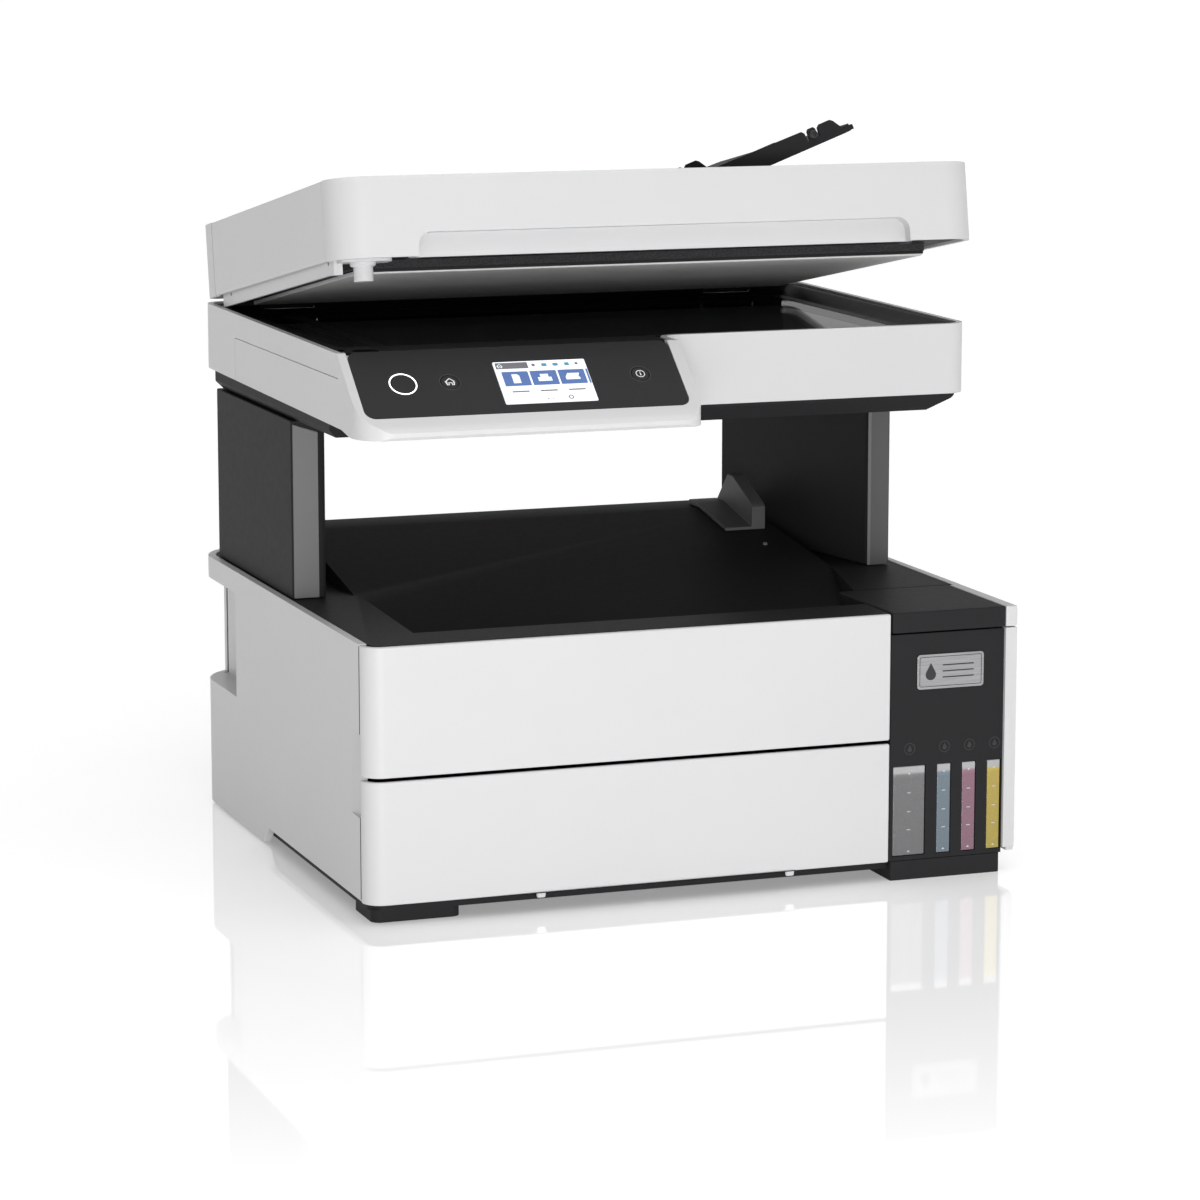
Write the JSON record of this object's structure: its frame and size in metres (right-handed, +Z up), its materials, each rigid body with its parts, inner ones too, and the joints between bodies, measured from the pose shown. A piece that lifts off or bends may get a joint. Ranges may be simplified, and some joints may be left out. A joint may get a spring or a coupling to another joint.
{
  "type": "inkjet multifunction printer",
  "caption": "Inkjet multifunction printer with refillable ink tanks, flatbed scanner, document feeder, touch panel, open output tray and a front paper cassette.",
  "frame": {"origin": "at floor level, at the middle of the width and of the depth", "axes": "+Z up, +X to the right seen from the front, the front faces -Y"},
  "size_m": [0.375, 0.347, 0.4128],
  "materials": {
    "white_casing": "satin moulded",
    "charcoal_casing": "fine matte grain",
    "grey_plastic": "matte",
    "gloss_black": "high gloss",
    "panel_black": "semi gloss",
    "foam": "open-cell foam",
    "document_white": "smooth matte",
    "scanner_glass": "clear",
    "screen": "lit display",
    "steel": "plain",
    "rubber": "matte",
    "circuit_board": "solder mask",
    "ink_grey": "translucent tank with black ink behind a frosted wall",
    "ink_cyan": "translucent tank",
    "ink_magenta": "translucent tank",
    "ink_yellow": "translucent tank"
  },
  "bodies": {
    "body": {"base_pan": "charcoal_casing", "left_side_panel": "white_casing", "right_side_panel": "white_casing", "upper_front_panel": "white_casing", "output_tray": "charcoal_casing", "paper_rest": "grey_plastic", "left_pillar": "charcoal_casing", "right_pillar": "charcoal_casing", "rear_panel": "charcoal_casing", "power_inlet": "gloss_black", "ink_unit_housing": "charcoal_casing", "tank_black": "ink_grey", "tank_cyan": "ink_cyan", "tank_magenta": "ink_magenta", "tank_yellow": "ink_yellow", "carriage_rail": "steel", "platen": "charcoal_casing", "carriage_belt": "rubber", "carriage_motor": "steel", "mainboard": "circuit_board", "power_supply": "charcoal_casing"},
    "duplexer": {"duplex_unit": "charcoal_casing"},
    "tank_cover": {"ink_cover": "charcoal_casing", "ink_cover_strip": "white_casing"},
    "cap_k": {"cap_black": "ink_grey"},
    "cap_c": {"cap_cyan": "ink_cyan"},
    "cap_m": {"cap_magenta": "ink_magenta"},
    "cap_y": {"cap_yellow": "ink_yellow"},
    "cassette": {"cassette_tray": "charcoal_casing"},
    "cassette_guide_l": {"cassette_guide_left": "grey_plastic"},
    "cassette_guide_r": {"cassette_guide_right": "grey_plastic"},
    "cassette_cover": {"front_cover": "white_casing"},
    "head_carriage": {"print_carriage": "charcoal_casing"},
    "feed_shaft": {"feed_roller": "rubber"},
    "eject_shaft": {"eject_roller": "rubber"},
    "motor_pulley": {"drive_pulley": "steel"},
    "end_pulley": {"idler_pulley": "steel"},
    "scanner": {"scanner_frame": "white_casing", "control_panel": "panel_black", "lcd_screen": "screen", "scan_bezel": "gloss_black", "platen_glass": "scanner_glass", "adf_glass": "scanner_glass", "scanner_bottom": "charcoal_casing", "scan_guide_rod": "steel"},
    "scan_head": {"scan_carriage": "charcoal_casing"},
    "power_key": {"power_button": "panel_black"},
    "home_key": {"home_button": "panel_black"},
    "help_key": {"help_button": "panel_black"},
    "lid": {"lid_shell": "white_casing", "lid_foam": "foam", "document_mat": "document_white", "lid_hinge_left": "charcoal_casing", "lid_hinge_right": "charcoal_casing", "adf_chute": "charcoal_casing"},
    "feeder_cover": {"adf_cover": "white_casing"},
    "feeder_roller": {"adf_feed_roller": "rubber"},
    "feeder_tray": {"adf_input_tray": "charcoal_casing"},
    "feeder_guide_f": {"adf_guide_front": "grey_plastic"},
    "feeder_guide_r": {"adf_guide_rear": "grey_plastic"}
  },
  "joints": [
    {"name": "scanner_lift", "type": "hinge", "parent": "body", "child": "scanner", "pos_m": [0, 0.138, 0.252], "axis": [-1, 0, 0], "range_deg": [0, 30]},
    {"name": "lid_open", "type": "hinge", "parent": "scanner", "child": "lid", "pos_m": [0, 0.14, 0.3], "axis": [-1, 0, 0], "range_deg": [-9.9, 50]},
    {"name": "feeder_cover_open", "type": "hinge", "parent": "lid", "child": "feeder_cover", "pos_m": [-0.187, 0.0026, 0.32703], "axis": [0, -0.9851, 0.1719], "range_deg": [0, 65]},
    {"name": "feeder_tray_tilt", "type": "hinge", "parent": "lid", "child": "feeder_tray", "pos_m": [0.033, 0.00776, 0.35658], "axis": [0, -0.9851, 0.1719], "range_deg": [-20.3, 8]},
    {"name": "feeder_guide_front_slide", "type": "slide", "parent": "feeder_tray", "child": "feeder_guide_f", "axis": [0, 0.9851, -0.1719], "range_m": [0, 0.055]},
    {"name": "feeder_guide_rear_slide", "type": "slide", "parent": "feeder_tray", "child": "feeder_guide_r", "axis": [0, -0.9851, 0.1719], "range_m": [0, 0.055]},
    {"name": "feeder_roller_spin", "type": "hinge", "parent": "lid", "child": "feeder_roller", "pos_m": [-0.092, 0.00587, 0.34574], "axis": [0, 0.9851, -0.1719], "continuous": true},
    {"name": "scan_head_travel", "type": "slide", "parent": "scanner", "child": "scan_head", "axis": [1, 0, 0], "range_m": [0, 0.3]},
    {"name": "power_button_press", "type": "slide", "parent": "scanner", "child": "power_key", "axis": [0, 0.6343, -0.7731], "range_m": [0, 0.0008], "stiffness_N_per_m": 400},
    {"name": "home_button_press", "type": "slide", "parent": "scanner", "child": "home_key", "axis": [0, 0.6343, -0.7731], "range_m": [0, 0.0008], "stiffness_N_per_m": 400},
    {"name": "help_button_press", "type": "slide", "parent": "scanner", "child": "help_key", "axis": [0, 0.6343, -0.7731], "range_m": [0, 0.0008], "stiffness_N_per_m": 400},
    {"name": "cassette_slide", "type": "slide", "parent": "body", "child": "cassette", "axis": [0, -1, 0], "range_m": [0, 0.22]},
    {"name": "cassette_guide_left_slide", "type": "slide", "parent": "cassette", "child": "cassette_guide_l", "axis": [1, 0, 0], "range_m": [0, 0.05]},
    {"name": "cassette_guide_right_slide", "type": "slide", "parent": "cassette", "child": "cassette_guide_r", "axis": [-1, 0, 0], "range_m": [0, 0.05]},
    {"name": "front_cover_drop", "type": "hinge", "parent": "cassette", "child": "cassette_cover", "pos_m": [0, -0.172, 0.0115], "axis": [1, 0, 0], "range_deg": [0, 90]},
    {"name": "ink_cover_open", "type": "hinge", "parent": "body", "child": "tank_cover", "pos_m": [0.146, -0.0986, 0.15], "axis": [-1, 0, 0], "range_deg": [0, 80]},
    {"name": "black_cap_open", "type": "hinge", "parent": "body", "child": "cap_k", "pos_m": [0.12675, -0.12, 0.119], "axis": [-1, 0, 0], "range_deg": [0, 95]},
    {"name": "cyan_cap_open", "type": "hinge", "parent": "body", "child": "cap_c", "pos_m": [0.1454, -0.12, 0.119], "axis": [-1, 0, 0], "range_deg": [0, 95]},
    {"name": "magenta_cap_open", "type": "hinge", "parent": "body", "child": "cap_m", "pos_m": [0.1602, -0.12, 0.119], "axis": [-1, 0, 0], "range_deg": [0, 95]},
    {"name": "yellow_cap_open", "type": "hinge", "parent": "body", "child": "cap_y", "pos_m": [0.1736, -0.12, 0.119], "axis": [-1, 0, 0], "range_deg": [0, 95]},
    {"name": "head_carriage_travel", "type": "slide", "parent": "body", "child": "head_carriage", "axis": [-1, 0, 0], "range_m": [0, 0.26]},
    {"name": "motor_pulley_spin", "type": "hinge", "parent": "body", "child": "motor_pulley", "pos_m": [-0.16, 0.053, 0.102], "axis": [0, 0, -1], "range_deg": [0, 1870]},
    {"name": "end_pulley_spin", "type": "hinge", "parent": "body", "child": "end_pulley", "pos_m": [0.166, 0.053, 0.102], "axis": [0, 0, -1], "range_deg": [0, 1870]},
    {"name": "feed_shaft_spin", "type": "hinge", "parent": "body", "child": "feed_shaft", "pos_m": [-0.015, 0.042, 0.077], "axis": [1, 0, 0], "continuous": true},
    {"name": "eject_shaft_spin", "type": "hinge", "parent": "body", "child": "eject_shaft", "pos_m": [-0.015, -0.058, 0.077], "axis": [1, 0, 0], "continuous": true},
    {"name": "duplexer_pull", "type": "slide", "parent": "body", "child": "duplexer", "axis": [0, 1, 0], "range_m": [0, 0.12]}
  ],
  "couplings": [
    {"joint": "feeder_guide_rear_slide", "follows": "feeder_guide_front_slide", "ratio": 1},
    {"joint": "cassette_guide_right_slide", "follows": "cassette_guide_left_slide", "ratio": 1},
    {"joint": "motor_pulley_spin", "follows": "head_carriage_travel", "rad_per_m": 125},
    {"joint": "end_pulley_spin", "follows": "head_carriage_travel", "rad_per_m": 125},
    {"joint": "eject_shaft_spin", "follows": "feed_shaft_spin", "ratio": 1}
  ]
}
